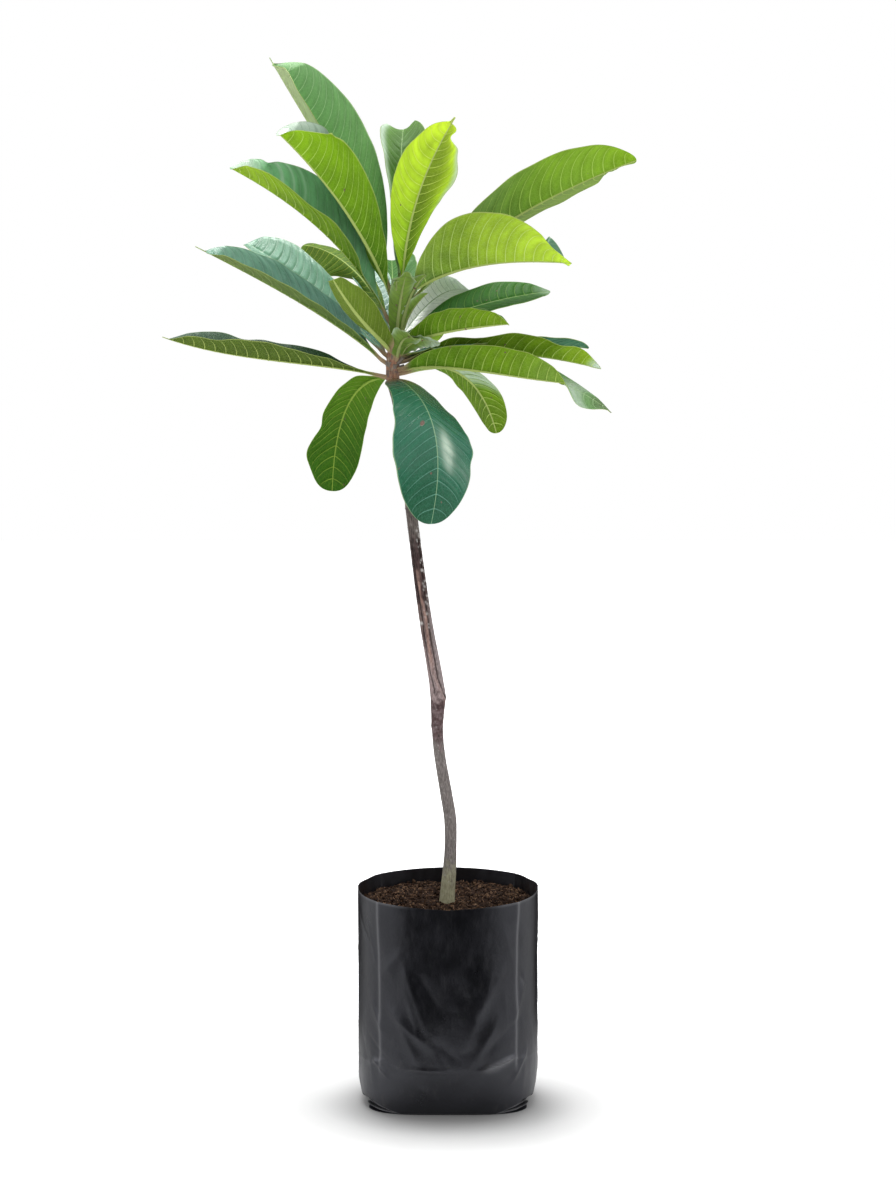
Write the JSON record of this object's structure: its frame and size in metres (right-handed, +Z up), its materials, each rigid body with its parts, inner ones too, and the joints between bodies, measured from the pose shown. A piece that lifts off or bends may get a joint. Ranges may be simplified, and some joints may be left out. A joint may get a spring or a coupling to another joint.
{
  "type": "potted mamey sapote tree",
  "caption": "Young grafted mamey sapote tree: long leathery leaves in a rosette on a slender leaning trunk, rooted in a soil-filled black film nursery bag.",
  "frame": {"origin": "middle of the bag's flat underside, which stands on the floor", "axes": "+Z up along the bag, +X to the right and +Y away as the picture's viewer sees it; the trunk leans towards -X"},
  "size_m": [0.4965, 0.358, 1.101],
  "materials": {
    "bag_film": "satin black polythene film with soft creases",
    "soil": "moist dark crumbly soil",
    "bark": "grey-brown bark with a dark grafted stretch",
    "leaf": "leathery, glossy blue-green above and yellow-green below"
  },
  "bodies": {
    "root": {"bag": "bag_film", "soil": "soil", "trunk": "bark", "leaf_crest_left": "leaf", "leaf_crest_front": "leaf", "leaf_crest_rear": "leaf", "leaf_upper_left_front": "leaf", "leaf_upper_left": "leaf", "leaf_upper_right_rear": "leaf", "leaf_upper_right_front": "leaf", "leaf_upper_rear": "leaf", "leaf_mid_left": "leaf", "leaf_mid_left_rear": "leaf", "leaf_mid_left_front": "leaf", "leaf_mid_left_drooping": "leaf", "leaf_mid_left_small": "leaf", "leaf_mid_rear": "leaf", "leaf_mid_right": "leaf", "leaf_mid_right_front": "leaf", "leaf_mid_right_rear": "leaf", "leaf_low_left": "leaf", "leaf_low_right_front": "leaf", "leaf_low_right": "leaf", "leaf_low_right_rear": "leaf", "leaf_low_right_drooping": "leaf", "leaf_low_rear": "leaf", "leaf_hanging_left": "leaf", "leaf_hanging_front": "leaf", "leaf_hanging_right": "leaf", "leaf_young_broad": "leaf", "leaf_young_flared": "leaf", "leaf_young_slim": "leaf"}
  },
  "joints": []
}
